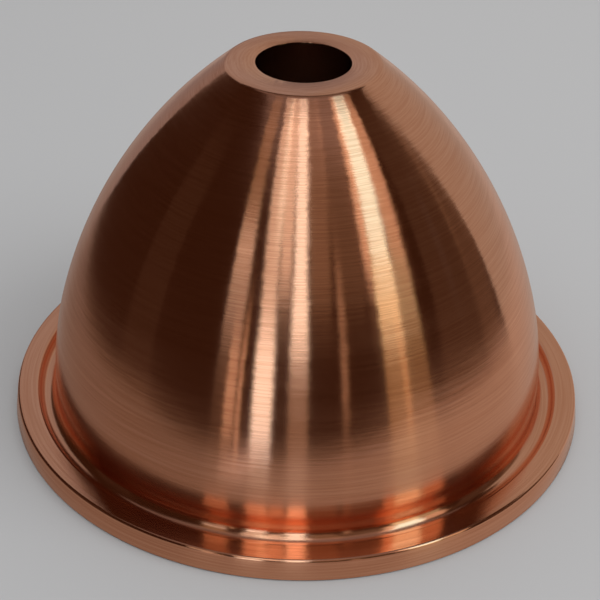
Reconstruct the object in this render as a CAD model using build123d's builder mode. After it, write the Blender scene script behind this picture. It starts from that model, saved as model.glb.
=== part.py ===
from build123d import *
from math import asin, degrees, radians, tan
import os

# Alembic dome: the copper head that stands on a still's boiler.
# One copper disc, spun into an ogive dome with a flat top and a neck hole, with a groove
# pressed round its foot and a flat rim that turns down into a short skirt.
# Millimetres, +Z up, origin at the centre of the circle on which the skirt stands.
# Widths, heights and curves are those of the outside surface of the sheet, and a bend's
# radius is the one on the inside of the bend.

# Overall sizes
foot_diameter = 307.0
overall_height = 194.5
sheet_thickness = 1.0

# Neck hole, the flat ring round it and the bend at its edge
neck_hole_diameter = 47.0
neck_ring_width = 14.5
neck_ring_bend = 2.5

# Dome wall: upright at its widest place, with a slow curve that runs on into a tighter or
# wider one up to the neck ring, and a slight tuck-in below
widest_height = 15.5
lower_curve_radius = 178.0
lower_curve_sweep = 15.2
tuck_in_radius = 110.0

# Groove between the dome and the rim
groove_width = 9.5
groove_depth = 4.5
groove_wall_lean = 15.0
groove_floor_flat = 0.4
groove_outer_bend = 3.0

# Rim and skirt
rim_height = 11.0
rim_width = 11.4
rim_inner_bend = 0.8
rim_outer_bend = 0.5
skirt_flare = 1.5

# Rounding of the cut edges, at the neck hole and at the skirt's foot
cut_edge_radius = 0.1


def setback(bend_radius, turn):
    """Distance from a corner to where a bend that turns by so many degrees begins."""
    return bend_radius * tan(radians(turn / 2))


# Corners of the outside line, from the skirt inwards
skirt_top_radius = foot_diameter / 2 - skirt_flare
rim_crest_radius = skirt_top_radius - rim_width
groove_floor_height = rim_height - groove_depth
groove_wall_foot_radius = rim_crest_radius - groove_depth * tan(radians(groove_wall_lean))
widest_radius = rim_crest_radius - groove_width
neck_ring_radius = neck_hole_diameter / 2 + neck_ring_width

# The skirt is spun a little too long and then trimmed level
trim_height = -2 * sheet_thickness
trim_radius = foot_diameter / 2 - trim_height * skirt_flare / rim_height

tuck_in_sweep = degrees(asin((widest_height - groove_floor_height) / tuck_in_radius))

with BuildPart() as alembic_dome:
    with BuildSketch(Plane.XZ) as section:
        with BuildLine() as outside:
            widest_point = (widest_radius, widest_height)
            lower_curve = JernArc(widest_point, (0, 1), lower_curve_radius, lower_curve_sweep)
            upper_curve = TangentArc(
                lower_curve @ 1, (neck_ring_radius, overall_height), tangent=lower_curve % 1
            )
            Line(upper_curve @ 1, (neck_hole_diameter / 2, overall_height))

            tuck_in = JernArc(widest_point, (0, -1), tuck_in_radius, -tuck_in_sweep)
            floor = Line(tuck_in @ 1, (groove_wall_foot_radius, groove_floor_height))
            wall = Line(floor @ 1, (rim_crest_radius, rim_height))
            rim = Line(wall @ 1, (skirt_top_radius, rim_height))
            Line(rim @ 1, (trim_radius, trim_height))

            # The bend at the dome's foot takes what the rest of the floor leaves
            wall_turn = 90 - groove_wall_lean
            groove_inner_bend = (
                floor.length - setback(groove_outer_bend, wall_turn) - groove_floor_flat
            ) / setback(1, 90 + tuck_in_sweep)
            bends = (
                (upper_curve @ 1, neck_ring_bend + sheet_thickness),
                (floor @ 0, groove_inner_bend),
                (floor @ 1, groove_outer_bend),
                (rim @ 0, rim_inner_bend + sheet_thickness),
                (rim @ 1, rim_outer_bend + sheet_thickness),
            )
            for corner, radius in bends:
                fillet(outside.vertices().sort_by_distance(corner)[0], radius)
            offset(outside.wire(), amount=sheet_thickness, side=Side.LEFT)
        make_face()
    revolve(axis=Axis.Z)
    split(bisect_by=Plane.XY, keep=Keep.TOP)
    rings = alembic_dome.edges().filter_by(lambda edge: edge.is_closed)
    foot_edges = rings.group_by(Axis.Z)[0]
    neck_edges = rings.sort_by(SortBy.RADIUS)[:2]
    fillet(foot_edges + neck_edges, cut_edge_radius)

alembic_dome.part.label = "alembic_dome"

os.makedirs("parts", exist_ok=True)
export_step(alembic_dome.part, "parts/alembic_dome.step")
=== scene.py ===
"""Alembic dome: a spun copper still head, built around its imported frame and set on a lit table."""

from math import asin, atan, atan2, cos, degrees, pi, radians, sin, sqrt, tan

import bpy
from mathutils import Matrix, Vector


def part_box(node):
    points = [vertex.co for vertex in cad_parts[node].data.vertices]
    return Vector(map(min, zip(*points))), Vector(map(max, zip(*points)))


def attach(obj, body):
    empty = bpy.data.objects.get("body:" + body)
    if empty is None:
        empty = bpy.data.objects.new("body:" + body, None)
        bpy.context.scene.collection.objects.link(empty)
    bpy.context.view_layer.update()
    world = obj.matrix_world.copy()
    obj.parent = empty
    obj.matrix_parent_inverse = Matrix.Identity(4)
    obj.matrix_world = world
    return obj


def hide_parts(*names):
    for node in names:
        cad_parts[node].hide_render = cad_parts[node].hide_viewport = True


bl_info = {
    "name": "Alembic Dome",
    "version": (1, 0, 0),
    "blender": (4, 5, 0),
    "location": "View3D > Sidebar > Alembic Dome",
    "description": "Spins a copper still head from one outline, brushes it and lights it on a table",
    "category": "Add Mesh",
}

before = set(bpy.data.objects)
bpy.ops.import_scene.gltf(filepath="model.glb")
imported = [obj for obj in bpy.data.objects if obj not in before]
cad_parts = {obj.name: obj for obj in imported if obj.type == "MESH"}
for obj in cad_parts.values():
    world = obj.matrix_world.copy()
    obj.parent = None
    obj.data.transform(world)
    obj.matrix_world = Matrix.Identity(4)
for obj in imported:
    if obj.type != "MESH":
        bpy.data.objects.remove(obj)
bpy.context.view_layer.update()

PIECE = "spun_dome"
CAD_NODE = "alembic_dome"
UV_ROUND = "round_the_axis"
MM = 0.001
PHOTO_SIDE = 600
SENSOR_WIDTH = 36.0


def length(name, description, default):
    """A size in metres that a user may change."""
    return bpy.props.FloatProperty(
        name=name, description=description, default=default, min=0.0, precision=6, unit="LENGTH"
    )


def angle(name, description, default):
    """An angle that a user may change, given in degrees."""
    return bpy.props.FloatProperty(
        name=name, description=description, default=radians(default), precision=3, unit="ROTATION"
    )


def share(name, description, default, highest=1.0):
    """A plain number from nought up that a user may change."""
    return bpy.props.FloatProperty(
        name=name, description=description, default=default, min=0.0, max=highest, precision=3
    )


def colour(name, description, default):
    """A colour that a user may change."""
    return bpy.props.FloatVectorProperty(
        name=name, description=description, default=default, size=3, min=0.0, max=1.0, subtype="COLOR"
    )


class DomeSizes(bpy.types.PropertyGroup):
    """Sizes of the outside of the sheet; a bend's radius is the one on the inside of the bend."""

    foot_diameter: length("Foot diameter", "Outside of the skirt where it stands", 307.0 * MM)
    overall_height: length("Height", "From the skirt's foot to the neck ring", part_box(CAD_NODE)[1].z)
    sheet: length("Sheet", "Thickness of the copper", 1.0 * MM)
    neck_hole_diameter: length("Neck hole", "Diameter of the hole", 47.0 * MM)
    neck_ring_width: length("Neck ring width", "From the hole to the dome wall's corner", 14.5 * MM)
    neck_ring_bend: length("Neck ring bend", "Bend between the ring and the dome wall", 2.5 * MM)
    widest_height: length("Widest height", "Where the dome wall stands upright", 15.5 * MM)
    lower_curve_radius: length("Lower curve", "Radius of the wall's lower curve", 178.0 * MM)
    lower_curve_sweep: angle("Lower curve sweep", "Angle of the wall's lower curve", 15.2)
    tuck_in_radius: length("Tuck-in", "Radius of the wall below its widest place", 110.0 * MM)
    groove_width: length("Groove width", "From the dome wall to the rim's corner", 9.5 * MM)
    groove_depth: length("Groove depth", "From the rim down to the groove's floor", 4.5 * MM)
    groove_wall_lean: angle("Groove wall lean", "Lean of the groove's outer wall", 15.0)
    groove_floor_flat: length("Groove floor", "Flat left between the two bends", 0.4 * MM)
    groove_outer_bend: length("Groove bend", "Bend at the foot of the outer wall", 3.0 * MM)
    rim_height: length("Rim height", "Top of the rim above the table", 11.0 * MM)
    rim_width: length("Rim width", "From corner to corner", 11.4 * MM)
    rim_inner_bend: length("Rim inner bend", "Bend between the rim and the groove", 0.8 * MM)
    rim_outer_bend: length("Rim outer bend", "Bend between the rim and the skirt", 0.5 * MM)
    skirt_flare: length("Skirt flare", "How far the skirt's foot stands out", 1.5 * MM)
    cut_edge: length("Cut edge", "Rounding of the sheet's cut edges", 0.1 * MM)
    segments: bpy.props.IntProperty(
        name="Segments", description="Steps in the spin round the axis", default=256, min=32, max=512
    )


class CopperLook(bpy.types.PropertyGroup):
    """Finish of the copper, outside and inside."""

    bright: colour("Bright copper", "Colour where the brush has cleaned it", (0.92, 0.48, 0.31))
    deep: colour("Deep copper", "Colour in the fine lines", (0.82, 0.395, 0.24))
    # Painted shade: the inside copper is far darker than the outside, standing in for the shade in the dome's hollow
    inside: colour("Inside copper", "Colour of the unbrushed inside", (0.30, 0.135, 0.085))
    roughness: share("Roughness", "Mean roughness of the brushed outside", 0.15)
    line_spacing: length("Line spacing", "Mean distance between the brush's lines", 0.9 * MM)
    line_depth: length("Line depth", "Depth of the brush's lines", 0.025 * MM)
    chatter_depth: length("Chatter depth", "Depth of the marks left by the spinning tool", 0.05 * MM)


class StudioLook(bpy.types.PropertyGroup):
    """Table, room, lamps and camera."""

    table: colour("Table", "Colour of the table", (0.56, 0.565, 0.575))
    # Painted shade and painted light: the table that the copper shows glows, dim front left where shade falls and
    # lit on the right
    table_painted_shade: colour("Dim table", "The table that the copper shows, front left", (0.2, 0.165, 0.145))
    table_painted_light: colour("Lit table", "The table that the copper shows, on the right", (0.38, 0.32, 0.28))
    room: colour("Room", "Dark room that the copper shows", (0.034, 0.0150, 0.0080))
    lamp_level: share("Lamp level", "Strength of all lamps together", 1.0, 10.0)
    ambient: share("Ambient", "Soft light on the table from all round", 0.7, 10.0)
    key: share("Key light", "Soft light on the table from the right", 2.0, 10.0)
    camera_forward: length("Camera distance", "From the dome's axis, along the ground", 657.2 * MM)
    camera_height: length("Camera height", "Above the table", 492.1 * MM)
    camera_left: length("Camera offset", "To the left of the dome's axis", 12.3 * MM)
    camera_pitch: angle("Camera pitch", "Below the horizon", 33.558)
    camera_roll: angle("Camera roll", "Turn of the picture", 0.7704)
    focal_pixels: share("Focal length", "In pixels of the photograph", 1472.7, 10000.0)
    axis_pixel: share("Optical axis", "Pixel column that the lens points at", 275.0, 600.0)


def setback(radius, turn):
    """Distance from a corner to where a bend of that turn begins."""
    return radius * tan(turn / 2)


def outline(s):
    """The outside line from the neck hole to below the foot, as runs and turns.

    A run is an end point; a turn is a centre, an angle (positive where the outside is convex)
    and the rows of faces that it takes. Points are radius and height.
    """
    skirt_top = s.foot_diameter / 2 - s.skirt_flare
    rim_crest = skirt_top - s.rim_width
    floor = s.rim_height - s.groove_depth
    wall_foot = rim_crest - s.groove_depth * tan(s.groove_wall_lean)
    widest = rim_crest - s.groove_width
    ring_corner = s.neck_hole_diameter / 2 + s.neck_ring_width

    lower_centre = (widest - s.lower_curve_radius, s.widest_height)
    sweep = s.lower_curve_sweep
    joint = (
        lower_centre[0] + s.lower_curve_radius * cos(sweep),
        lower_centre[1] + s.lower_curve_radius * sin(sweep),
    )
    chord_in, chord_up = joint[0] - ring_corner, s.overall_height - joint[1]
    upper_radius = (chord_in**2 + chord_up**2) / (2 * (chord_in * cos(sweep) - chord_up * sin(sweep)))
    upper_centre = (joint[0] - upper_radius * cos(sweep), joint[1] - upper_radius * sin(sweep))

    neck_bend = s.neck_ring_bend + s.sheet
    neck_rise = s.overall_height - neck_bend - upper_centre[1]
    neck_x = upper_centre[0] + sqrt((upper_radius - neck_bend) ** 2 - neck_rise**2)
    neck_angle = atan2(neck_rise, neck_x - upper_centre[0])

    wall_turn = pi / 2 - s.groove_wall_lean
    tuck_centre = (widest - s.tuck_in_radius, s.widest_height)
    tuck_sweep = asin((s.widest_height - floor) / s.tuck_in_radius)
    tuck_foot = tuck_centre[0] + s.tuck_in_radius * cos(tuck_sweep)
    floor_run = wall_foot - tuck_foot
    inner_bend = (floor_run - setback(s.groove_outer_bend, wall_turn) - s.groove_floor_flat) / setback(
        1, pi / 2 + tuck_sweep
    )
    inner_fall = floor + inner_bend - s.widest_height
    inner_x = tuck_centre[0] + sqrt((s.tuck_in_radius + inner_bend) ** 2 - inner_fall**2)
    tuck_turn = atan2(-inner_fall, inner_x - tuck_centre[0])

    outer_x = wall_foot - setback(s.groove_outer_bend, wall_turn)
    crest_bend = s.rim_inner_bend + s.sheet
    crest_x = rim_crest + setback(crest_bend, wall_turn)
    edge_bend = s.rim_outer_bend + s.sheet
    skirt_turn = pi / 2 - atan(s.skirt_flare / s.rim_height)
    edge_x = skirt_top - setback(edge_bend, skirt_turn)
    wall_top = setback(crest_bend, wall_turn)
    trim = 2 * s.sheet

    return [
        (neck_x, s.overall_height),
        ((neck_x, s.overall_height - neck_bend), pi / 2 - neck_angle, 8),
        (upper_centre, neck_angle - sweep, 52),
        (lower_centre, sweep, 16),
        (tuck_centre, tuck_turn, 3),
        ((inner_x, floor + inner_bend), -(pi / 2 + tuck_turn), 12),
        (outer_x, floor),
        ((outer_x, floor + s.groove_outer_bend), -wall_turn, 8),
        (rim_crest - wall_top * sin(s.groove_wall_lean), s.rim_height - wall_top * cos(s.groove_wall_lean)),
        ((crest_x, s.rim_height - crest_bend), wall_turn, 8),
        (edge_x, s.rim_height),
        ((edge_x, s.rim_height - edge_bend), skirt_turn, 8),
        (s.foot_diameter / 2 + trim * s.skirt_flare / s.rim_height, -trim),
    ]


def deselect_all():
    """Leaves edit mode and selects nothing, so that an operator acts on new things alone."""
    if bpy.context.mode != "OBJECT":
        bpy.ops.object.mode_set(mode="OBJECT")
    bpy.ops.object.select_all(action="DESELECT")


def select_edges(piece, wanted):
    """In edit mode, selects the edges whose two ends pass the test, and nothing else."""
    bpy.ops.mesh.select_mode(type="EDGE")
    bpy.ops.mesh.select_all(action="DESELECT")
    bpy.ops.object.mode_set(mode="OBJECT")
    vertices = piece.data.vertices
    for edge in piece.data.edges:
        edge.select = all(wanted(vertices[i].co) for i in edge.vertices)
    bpy.ops.object.mode_set(mode="EDIT")


def start_line(name, place):
    """Adds an object of one vertex at a place, ready to be drawn on in edit mode."""
    deselect_all()
    bpy.ops.mesh.primitive_plane_add(size=MM, location=place)
    piece = bpy.context.object
    piece.name = piece.data.name = name
    bpy.ops.object.transform_apply(location=True, rotation=False, scale=False)
    bpy.ops.object.mode_set(mode="EDIT")
    bpy.ops.mesh.select_mode(type="VERT")
    bpy.ops.mesh.select_all(action="SELECT")
    bpy.ops.mesh.merge(type="CENTER")
    return piece


def draw_outline(s):
    """Draws the outside line from one point, by extruding it along the runs and round the turns."""
    pen = Vector((s.neck_hole_diameter / 2, 0, s.overall_height))
    piece = start_line(PIECE, pen)
    for move in outline(s):
        if len(move) == 2:
            end = Vector((move[0], 0, move[1]))
            bpy.ops.mesh.extrude_vertices_move(TRANSFORM_OT_translate={"value": end - pen})
            pen = end
        else:
            (x, z), turn, rows = move
            centre = Vector((x, 0, z))
            bpy.ops.mesh.spin(steps=rows, angle=turn, center=centre, axis=(0, -1, 0))
            pen = centre + Matrix.Rotation(turn, 3, "Y") @ (pen - centre)
    return piece


def trim_foot(piece, s):
    """Trims the skirt level with the table, and closes the cut between its two walls."""
    bpy.ops.mesh.select_all(action="SELECT")
    bpy.ops.mesh.bisect(plane_co=(0, 0, 0), plane_no=(0, 0, 1), clear_inner=True, clear_outer=False)
    on_table = s.sheet / 100
    select_edges(piece, lambda point: abs(point.z) < on_table)
    bpy.ops.mesh.bridge_edge_loops()


def break_cut_edges(piece, s):
    """Rounds the four cut edges of the sheet: two at the neck hole, two at the skirt's foot."""
    near = s.sheet / 100
    hole = s.neck_hole_diameter / 2
    foot_inside = s.foot_diameter / 2 - 2 * s.sheet

    def is_cut(point):
        radius = sqrt(point.x**2 + point.y**2)
        return abs(radius - hole) < near or (abs(point.z) < near and radius > foot_inside)

    def is_ring(edge):
        a, b = (piece.data.vertices[i].co for i in edge.vertices)
        same_radius = abs(sqrt(a.x**2 + a.y**2) - sqrt(b.x**2 + b.y**2)) < near
        return is_cut(a) and is_cut(b) and same_radius and abs(a.z - b.z) < near

    bpy.ops.mesh.select_all(action="DESELECT")
    bpy.ops.object.mode_set(mode="OBJECT")
    for edge in piece.data.edges:
        edge.select = is_ring(edge)
    bpy.ops.object.mode_set(mode="EDIT")
    bpy.ops.mesh.bevel(offset=s.cut_edge, segments=2, profile=0.5, affect="EDGES")


def wrap_round(piece):
    """Lays a UV map over the shell: U once round the axis, V along the outline."""
    mesh = piece.data
    layer = mesh.uv_layers.active
    layer.name = UV_ROUND
    for face in mesh.polygons:
        middle = atan2(face.center.y, face.center.x)
        for loop in face.loop_indices:
            point = mesh.vertices[mesh.loops[loop].vertex_index].co
            turn = atan2(point.y, point.x)
            turn += 2 * pi * round((middle - turn) / (2 * pi))
            along = sqrt(point.x**2 + point.y**2) - point.z
            layer.data[loop].uv = (turn / (2 * pi), along)


class Nodes:
    """Adds nodes to a tree from left to right and links them."""

    def __init__(self, tree):
        self.tree = tree
        self.count = 0

    def add(self, kind, inputs=None, **settings):
        node = self.tree.nodes.new(kind)
        node.location = (180 * (self.count % 8), -260 * (self.count // 8))
        self.count += 1
        for key, value in settings.items():
            setattr(node, key, value)
        for key, value in (inputs or {}).items():
            if isinstance(value, bpy.types.NodeSocket):
                self.tree.links.new(value, node.inputs[key])
            else:
                node.inputs[key].default_value = value
        return node

    def math(self, operation, a, b=0.0):
        return self.add("ShaderNodeMath", {0: a, 1: b}, operation=operation).outputs[0]

    def mix(self, factor, a, b):
        node = self.add("ShaderNodeMix", {"Factor": factor}, data_type="RGBA")
        for socket, value in ((node.inputs[6], a), (node.inputs[7], b)):
            if isinstance(value, bpy.types.NodeSocket):
                self.tree.links.new(value, socket)
            else:
                socket.default_value = value
        return node.outputs[2]


def spun_lines_group():
    """Node group: the fine lines of a brush held against the turning work, and the tool's chatter."""
    group = bpy.data.node_groups.new("Spun Lines", "ShaderNodeTree")
    for name, default in (("Spacing", MM), ("Line Depth", MM), ("Chatter Depth", MM)):
        socket = group.interface.new_socket(name, in_out="INPUT", socket_type="NodeSocketFloat")
        socket.default_value = default
    for name in ("Height", "Lines", "Bands"):
        group.interface.new_socket(name, in_out="OUTPUT", socket_type="NodeSocketFloat")
    n = Nodes(group)
    inputs = n.add("NodeGroupInput").outputs
    point = n.add("ShaderNodeTexCoord").outputs["Object"]
    x, y, z = n.add("ShaderNodeSeparateXYZ", {0: point}).outputs
    radius = n.math("MAXIMUM", n.math("SQRT", n.math("ADD", n.math("MULTIPLY", x, x), n.math("MULTIPLY", y, y))), MM)
    along = n.math("SUBTRACT", radius, z)
    round_x, round_y = n.math("DIVIDE", x, radius), n.math("DIVIDE", y, radius)

    def noise(around, spacing, detail, roughness):
        """Noise that runs round the axis: few changes round it, many along the outline."""
        place = n.add(
            "ShaderNodeCombineXYZ",
            {
                0: n.math("MULTIPLY", round_x, around),
                1: n.math("MULTIPLY", round_y, around),
                2: n.math("DIVIDE", along, spacing),
            },
        ).outputs[0]
        return n.add(
            "ShaderNodeTexNoise", {"Vector": place, "Scale": 1.0, "Detail": detail, "Roughness": roughness}
        ).outputs["Fac"]

    lines = noise(2.0, inputs["Spacing"], 3.0, 0.6)
    chatter = noise(9.0, n.math("MULTIPLY", inputs["Spacing"], 5.0), 1.0, 0.5)
    bands = noise(0.8, 14.0 * MM, 2.0, 0.5)
    deep_lines = n.math("MULTIPLY", lines, inputs["Line Depth"])
    deep_chatter = n.math("MULTIPLY", chatter, inputs["Chatter Depth"])
    output = n.add("NodeGroupOutput")
    for name, value in (("Height", n.math("ADD", deep_lines, deep_chatter)), ("Lines", lines), ("Bands", bands)):
        group.links.new(value, output.inputs[name])
    return group


def copper_material(name, lines, look, colours, roughness, depth_share):
    """Brushed copper: bright and deep tones in the lines, and a gloss stretched across them."""
    material = bpy.data.materials.new(name)
    material.use_nodes = True
    material.node_tree.nodes.clear()
    n = Nodes(material.node_tree)
    spun = n.add(
        "ShaderNodeGroup",
        {
            "Spacing": look.line_spacing,
            "Line Depth": look.line_depth * depth_share,
            "Chatter Depth": look.chatter_depth * depth_share,
        },
        node_tree=lines,
    )
    # The group's tree has to be set before its inputs exist
    tone = n.add(
        "ShaderNodeMapRange", {"Value": spun.outputs["Lines"], "From Min": 0.38, "From Max": 0.6}
    ).outputs[0]
    base = n.mix(tone, (*colours[0], 1), (*colours[1], 1))
    gloss = n.add(
        "ShaderNodeMapRange",
        {
            "Value": spun.outputs["Bands"],
            "From Min": 0.3,
            "From Max": 0.7,
            "To Min": roughness * 0.88,
            "To Max": roughness * 1.15,
        },
    ).outputs[0]
    bump = n.add("ShaderNodeBump", {"Height": spun.outputs["Height"], "Distance": 1.0, "Strength": 1.0})
    tangent = n.add("ShaderNodeTangent", direction_type="UV_MAP", uv_map=UV_ROUND)
    shader = n.add(
        "ShaderNodeBsdfPrincipled",
        {
            "Base Color": base,
            "Metallic": 1.0,
            "Roughness": gloss,
            "Anisotropic": 1.0,
            "Anisotropic Rotation": 0.25,
            "Normal": bump.outputs[0],
            "Tangent": tangent.outputs[0],
        },
    )
    n.add("ShaderNodeOutputMaterial", {"Surface": shader.outputs[0]})
    return material


class MESH_OT_spin_alembic_dome(bpy.types.Operator):
    """Draw the dome's outside line, spin it round the axis and give it the sheet's thickness"""

    bl_idname = "mesh.spin_alembic_dome"
    bl_label = "Spin the Dome"
    bl_options = {"REGISTER", "UNDO"}

    def execute(self, context):
        s = context.scene.dome_sizes
        piece = draw_outline(s)
        bpy.ops.mesh.select_all(action="SELECT")
        bpy.ops.mesh.spin(steps=s.segments, angle=2 * pi, center=(0, 0, 0), axis=(0, 0, 1))
        bpy.ops.mesh.select_all(action="SELECT")
        bpy.ops.mesh.remove_doubles(threshold=s.sheet / 1000)
        bpy.ops.mesh.normals_make_consistent(inside=False)
        bpy.ops.object.mode_set(mode="OBJECT")
        wall = piece.modifiers.new("Sheet", "SOLIDIFY")
        wall.thickness, wall.offset, wall.use_even_offset = s.sheet, -1, True
        wall.use_quality_normals = True
        bpy.ops.object.modifier_apply(modifier=wall.name)
        bpy.ops.object.mode_set(mode="EDIT")
        trim_foot(piece, s)
        break_cut_edges(piece, s)
        bpy.ops.object.mode_set(mode="OBJECT")
        bpy.ops.object.shade_smooth_by_angle(angle=radians(40))
        wrap_round(piece)
        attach(piece, "root")
        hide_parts(CAD_NODE)
        return {"FINISHED"}


class MATERIAL_OT_brush_alembic_dome(bpy.types.Operator):
    """Give the dome its brushed outside and its plainer inside, whose darker copper is painted shade"""

    bl_idname = "material.brush_alembic_dome"
    bl_label = "Brush the Copper"
    bl_options = {"REGISTER", "UNDO"}

    def execute(self, context):
        s, look = context.scene.dome_sizes, context.scene.copper_look
        piece = bpy.data.objects[PIECE]
        lines = spun_lines_group()
        outside = copper_material(
            "Brushed Copper", lines, look, (look.deep, look.bright), look.roughness, 1.0
        )
        # The inside material's darker copper is painted shade in the hollow
        inside = copper_material(
            "Inside Copper", lines, look, (look.deep, look.inside), look.roughness * 1.7, 2.0
        )
        piece.data.materials.append(outside)
        piece.data.materials.append(inside)
        return {"FINISHED"}


def direction(azimuth, elevation=0.0):
    """Unit vector: azimuth 0 points at the camera's side, 90 to the right; elevation is upwards."""
    azimuth, elevation = radians(azimuth), radians(elevation)
    return Vector((sin(azimuth) * cos(elevation), -cos(azimuth) * cos(elevation), sin(elevation)))


def wall_point(s, azimuth, height):
    """A point of the dome's outside wall and the normal there."""
    arcs = [move for move in outline(s) if len(move) == 3]
    upper, lower = arcs[1][0], arcs[2][0]
    joint = lower[1] + s.lower_curve_radius * sin(s.lower_curve_sweep)
    centre = upper if height > joint else lower
    radius = (lower[0] + s.lower_curve_radius * cos(s.lower_curve_sweep) - centre[0]) / cos(s.lower_curve_sweep)
    rise = height - centre[1]
    run = sqrt(radius**2 - rise**2)
    outward = direction(azimuth)
    point = outward * (centre[0] + run)
    point.z = height
    normal = outward * run
    normal.z = rise
    return point, normal.normalized()


def add_lamp(s, eye, name, left, right, low, high, level, tint):
    """A flat lamp that the camera sees mirrored in the dome, between two azimuths and two heights."""
    corners = {}
    for side, azimuth in (("left", left), ("right", right)):
        for end, height in (("low", low), ("high", high)):
            point, normal = wall_point(s, azimuth, height * MM)
            sight = (point - eye).normalized()
            corners[side, end] = point + sight.reflect(normal) * LAMP_DISTANCE
    middle = sum(corners.values(), Vector()) / 4
    across = (
        corners["right", "low"] + corners["right", "high"] - corners["left", "low"] - corners["left", "high"]
    ) / 2
    upward = (
        corners["left", "high"] + corners["right", "high"] - corners["left", "low"] - corners["right", "low"]
    ) / 2
    back = (middle - Vector((0, 0, DOME_MIDDLE))).normalized()
    up = (upward - back * upward.dot(back)).normalized()
    side = up.cross(back)
    lamp = bpy.data.lights.new(name, "AREA")
    lamp.shape = "RECTANGLE"
    lamp.size, lamp.size_y = abs(across.dot(side)), upward.length
    lamp.energy = level * pi * lamp.size * lamp.size_y
    lamp.color = tint
    stand = bpy.data.objects.new(name, lamp)
    bpy.context.scene.collection.objects.link(stand)
    stand.location = middle
    stand.rotation_euler = Matrix((side, up, back)).transposed().to_euler()
    stand.visible_diffuse = False
    return stand


LAMP_DISTANCE = 4.0
DOME_MIDDLE = 0.1
SKY = (0.64, 0.96, 1.0)
BLUE = (0.6, 0.78, 1.0)
COOL = (0.85, 0.97, 1.0)
WHITE = (1.0, 0.97, 0.9)
GOLD = (0.97, 1.0, 0.7)
WARM = (1.0, 0.78, 0.6)
AMBER = (1.0, 0.7, 0.35)
LAMPS = (
    # name, azimuths on the dome from and to, heights on the dome from and to in mm, radiance
    ("outer_high", -19.5, -14.5, 150, 193, 0.15, AMBER),
    ("outer_rise", -19.5, -14.5, 131, 150, 0.66, WHITE),
    ("outer_mid", -19.5, -14.5, 104, 131, 0.31, WHITE),
    ("outer_low", -19.5, -16.8, 60, 104, 0.041, WARM),
    ("outer_low_edge", -16.8, -14.5, 60, 104, 0.53, WARM),
    ("thin", -13.7, -12.9, 45, 114, 0.59, WARM),
    ("left_top", -8.3, -6.2, 145, 193, 0.52, SKY),
    ("left_high", -10.5, -6.2, 112, 193, 0.68, WHITE),
    ("left_mid", -10.5, -6.2, 60, 112, 1.5, COOL),
    ("left_low", -10.5, -6.2, 44, 60, 1, BLUE),
    ("between", -6.2, -2.8, 125, 193, 0.8, WHITE),
    ("centre_high", -2.3, 1.5, 124, 193, 1.5, COOL),
    ("centre_mid", -2.6, 1.6, 100, 124, 1.6, COOL),
    ("centre_low", -2.6, 1.6, 50, 100, 0.17, WARM),
    ("shade_near", 1.8, 8.0, 118, 193, 0.17, WARM),
    ("shade_far", 8.0, 17.0, 118, 193, 0.093, WARM),
    ("shade_line", 9.2, 10.6, 70, 132, 0.26, WARM),
    ("window_edge", 17.2, 19.6, 130, 193, 0.78, WARM),
    ("window_high", 19.6, 25.8, 136, 193, 1.8, SKY),
    ("window_mid", 19.6, 25.6, 104, 136, 0.99, GOLD),
    ("window_low", 19.6, 25.4, 60, 104, 0.2, AMBER),
    ("window_low_bar", 23.4, 24.8, 50, 110, 0.2, AMBER),
    ("window_far_high", 25.8, 31.0, 136, 193, 0.6, WARM),
    ("window_far_mid", 25.6, 30.6, 104, 136, 0.39, GOLD),
    ("window_far_low", 25.4, 30.4, 50, 104, 0.12, AMBER),
    ("right_haze", 31.5, 46.0, 60, 193, 0.032, WARM),
    ("right_haze_far", 46.0, 54.0, 60, 185, 0.06, WARM),
    ("glint", 42.0, 44.0, 112, 154, 0.014, BLUE),
    ("left_haze", -44.5, -34.5, 60, 175, 0.013, WARM),
)


WALLS = (
    # name, azimuths from and to, distance, height, radiance
    ("wall_right", 108, 178, 1.6, 1.8, (0.37, 0.335, 0.3)),
    ("wall_left", 178, 219, 1.6, 0.68, (0.25, 0.215, 0.21)),
    ("wall_left_high", 178, 219, 1.7, 1.9, (0.34, 0.32, 0.32)),
)
SHEETS = (
    # name, corner, side across, side backwards, radiance
    ("ceiling", (-2.5, -2.5, 5.0), (5, 0, 0), (0, 5, 0), (0.18, 0.15, 0.15)),
    ("lit_patch", (-0.095, -0.31, MM), (0.035, 0, 0), (0, 0.11, 0), (0.6, 0.55, 0.55)),
)


def add_sheet(name, corner, across, back):
    """Draws a flat four-sided sheet by extruding one corner, and then the edge that it leaves."""
    sheet = start_line(name, corner)
    bpy.ops.mesh.extrude_vertices_move(TRANSFORM_OT_translate={"value": across})
    bpy.ops.mesh.select_all(action="SELECT")
    bpy.ops.mesh.extrude_edges_move(TRANSFORM_OT_translate={"value": back})
    bpy.ops.object.mode_set(mode="OBJECT")
    return sheet


def new_material(piece):
    """Gives a piece an empty material and returns its nodes."""
    material = bpy.data.materials.new(piece.name)
    material.use_nodes = True
    material.node_tree.nodes.clear()
    piece.data.materials.append(material)
    return Nodes(material.node_tree)


def show_in_copper_alone(piece):
    """Keeps a piece of the room out of the picture, except in the copper's reflections."""
    piece.visible_camera = False
    piece.visible_diffuse = False
    piece.visible_shadow = False


def make_glow(piece, radiance):
    """Makes a piece of the room glow evenly, in the copper's reflections alone."""
    n = new_material(piece)
    glow = n.add("ShaderNodeEmission", {"Color": (*radiance, 1), "Strength": 1.0})
    n.add("ShaderNodeOutputMaterial", {"Surface": glow.outputs[0]})
    show_in_copper_alone(piece)


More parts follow.
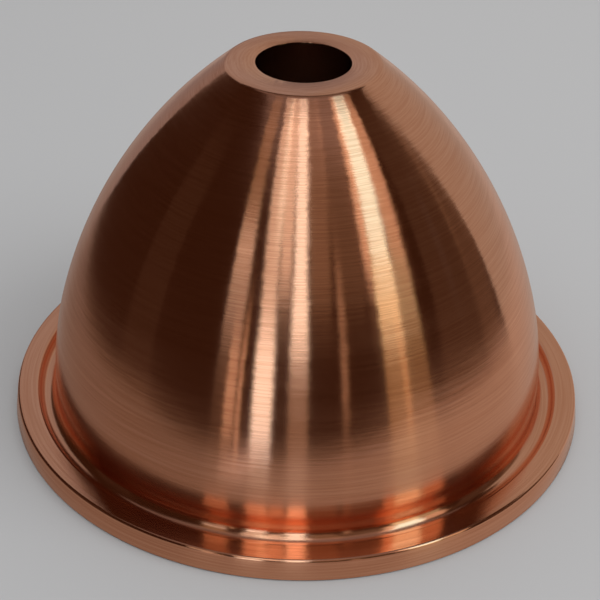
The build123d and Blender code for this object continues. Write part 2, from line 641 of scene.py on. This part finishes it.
class SCENE_OT_light_alembic_table(bpy.types.Operator):
    """Set the dome on a pale table, with its lamps, surround and camera"""

    bl_idname = "scene.light_alembic_table"
    bl_label = "Light the Table"
    bl_options = {"REGISTER", "UNDO"}

    def execute(self, context):
        look = context.scene.studio_look
        self.add_table(look, context.scene.dome_sizes.foot_diameter / 2)
        self.add_surround()
        self.add_room(context.scene, look)
        eye = Vector((-look.camera_left, -look.camera_forward, look.camera_height))
        for name, left, right, low, high, level, tint in LAMPS:
            level *= look.lamp_level
            add_lamp(context.scene.dome_sizes, eye, name, left, right, low, high, level, tint)
        self.add_key(look)
        self.add_camera(context.scene, look)
        context.scene.view_settings.view_transform = "Standard"
        return {"FINISHED"}

    def add_table(self, look, foot):
        """The table: a wide pale floor, and the part of it that the copper shows, a glowing sheet with painted shade
        front left, painted light on the right and painted shade under the dome.
        """
        floor = add_sheet("table", (-12, -12, -0.5 * MM), (24, 0, 0), (0, 24, 0))
        floor.visible_glossy = False
        n = new_material(floor)
        shader = n.add("ShaderNodeBsdfPrincipled", {"Base Color": (*look.table, 1), "Roughness": 0.5})
        n.add("ShaderNodeOutputMaterial", {"Surface": shader.outputs[0]})

        # The table's near edge runs askew; past it the copper shows the dark room
        top = add_sheet("tabletop", (-0.415, -0.227, 0), (0.845, -0.169, 0), (0, 1.9, 0))
        n = new_material(top)
        point = n.add("ShaderNodeTexCoord").outputs["Object"]
        x, y, z = n.add("ShaderNodeSeparateXYZ", {0: point}).outputs
        # Painted shade front left and painted light on the right, as a glow across the sheet
        slope = n.math("ADD", n.math("MULTIPLY", x, 0.9), n.math("MULTIPLY", y, 0.3))
        light = n.add("ShaderNodeMapRange", {"Value": slope, "From Min": -0.2, "From Max": 0.15}).outputs[0]
        glow = n.mix(light, (*look.table_painted_shade, 1), (*look.table_painted_light, 1))
        radius = n.math("SQRT", n.math("ADD", n.math("MULTIPLY", x, x), n.math("MULTIPLY", y, y)))
        # Painted shade: the glow is black under the dome's foot
        glow = n.mix(n.math("GREATER_THAN", radius, foot), (0, 0, 0, 1), glow)
        shader = n.add(
            "ShaderNodeBsdfPrincipled",
            {"Base Color": (0, 0, 0, 1), "Roughness": 0.25, "Emission Color": glow, "Emission Strength": 1.0},
        )
        n.add("ShaderNodeOutputMaterial", {"Surface": shader.outputs[0]})
        show_in_copper_alone(top)

    def add_surround(self):
        """The walls, the ceiling and a lit patch of table, which the copper alone shows."""
        for name, start, end, distance, height, radiance in WALLS:
            below = 0.6
            wall = start_line(name, direction(start) * distance - Vector((0, 0, below)))
            turn = radians(end - start)
            bpy.ops.mesh.spin(steps=24, angle=turn, center=(0, 0, 0), axis=(0, 0, -1))
            bpy.ops.mesh.select_all(action="SELECT")
            bpy.ops.mesh.extrude_edges_move(TRANSFORM_OT_translate={"value": (0, 0, height + below)})
            bpy.ops.object.mode_set(mode="OBJECT")
            make_glow(wall, radiance)
        for name, corner, across, back, radiance in SHEETS:
            make_glow(add_sheet(name, corner, across, back), radiance)

    def add_key(self, look):
        """The soft light that the table gets from the right."""
        lamp = bpy.data.lights.new("key", "AREA")
        lamp.shape, lamp.size, lamp.size_y = "RECTANGLE", 2.0, 2.0
        lamp.energy = look.key * pi * lamp.size * lamp.size_y
        stand = bpy.data.objects.new("key", lamp)
        bpy.context.scene.collection.objects.link(stand)
        stand.location = direction(70, 40) * 3
        stand.rotation_euler = (radians(50), 0, radians(70))
        stand.visible_glossy = False

    def add_room(self, scene, look):
        """World: a pale surround for the camera, a dark room for the copper, soft light for the table."""
        world = bpy.data.worlds.new("Room")
        world.use_nodes = True
        world.node_tree.nodes.clear()
        n = Nodes(world.node_tree)
        path = n.add("ShaderNodeLightPath").outputs
        ambient = (look.ambient,) * 3 + (1,)
        seen = n.mix(path["Is Camera Ray"], ambient, (0.45, 0.45, 0.45, 1))
        seen = n.mix(path["Is Glossy Ray"], seen, (*look.room, 1))
        back = n.add("ShaderNodeBackground", {"Color": seen, "Strength": 1.0})
        n.add("ShaderNodeOutputWorld", {"Surface": back.outputs[0]})
        scene.world = world

    def add_camera(self, scene, look):
        """The photograph's camera: a long lens, close above the dome."""
        data = bpy.data.cameras.new("camera")
        data.sensor_width = SENSOR_WIDTH
        data.lens = look.focal_pixels / PHOTO_SIDE * SENSOR_WIDTH
        data.shift_x = (PHOTO_SIDE / 2 - look.axis_pixel) / PHOTO_SIDE
        camera = bpy.data.objects.new("camera", data)
        scene.collection.objects.link(camera)
        camera.location = (-look.camera_left, -look.camera_forward, look.camera_height)
        pitch = Matrix.Rotation(pi / 2 - look.camera_pitch, 4, "X")
        roll = Matrix.Rotation(look.camera_roll, 4, "Z")
        camera.rotation_euler = (pitch @ roll).to_euler()
        scene.camera = camera


class VIEW3D_PT_alembic_dome(bpy.types.Panel):
    """Sizes, finish and studio of the alembic dome, with the steps that build them"""

    bl_label = "Alembic Dome"
    bl_space_type = "VIEW_3D"
    bl_region_type = "UI"
    bl_category = "Alembic Dome"

    def draw(self, context):
        for operator, settings in STEPS:
            box = self.layout.box()
            box.operator(operator.bl_idname)
            group = getattr(context.scene, settings)
            for name in group.bl_rna.properties.keys():
                if name not in ("rna_type", "name"):
                    box.prop(group, name)


STEPS = (
    (MESH_OT_spin_alembic_dome, "dome_sizes"),
    (MATERIAL_OT_brush_alembic_dome, "copper_look"),
    (SCENE_OT_light_alembic_table, "studio_look"),
)
SETTINGS = {"dome_sizes": DomeSizes, "copper_look": CopperLook, "studio_look": StudioLook}


def register():
    for name, group in SETTINGS.items():
        bpy.utils.register_class(group)
        setattr(bpy.types.Scene, name, bpy.props.PointerProperty(type=group))
    for operator, _ in STEPS:
        bpy.utils.register_class(operator)
    bpy.utils.register_class(VIEW3D_PT_alembic_dome)


def unregister():
    bpy.utils.unregister_class(VIEW3D_PT_alembic_dome)
    for operator, _ in reversed(STEPS):
        bpy.utils.unregister_class(operator)
    for name, group in SETTINGS.items():
        delattr(bpy.types.Scene, name)
        bpy.utils.unregister_class(group)


def main():
    register()
    bpy.ops.mesh.spin_alembic_dome()
    bpy.ops.material.brush_alembic_dome()
    bpy.ops.scene.light_alembic_table()


if __name__ == "__main__":
    main()
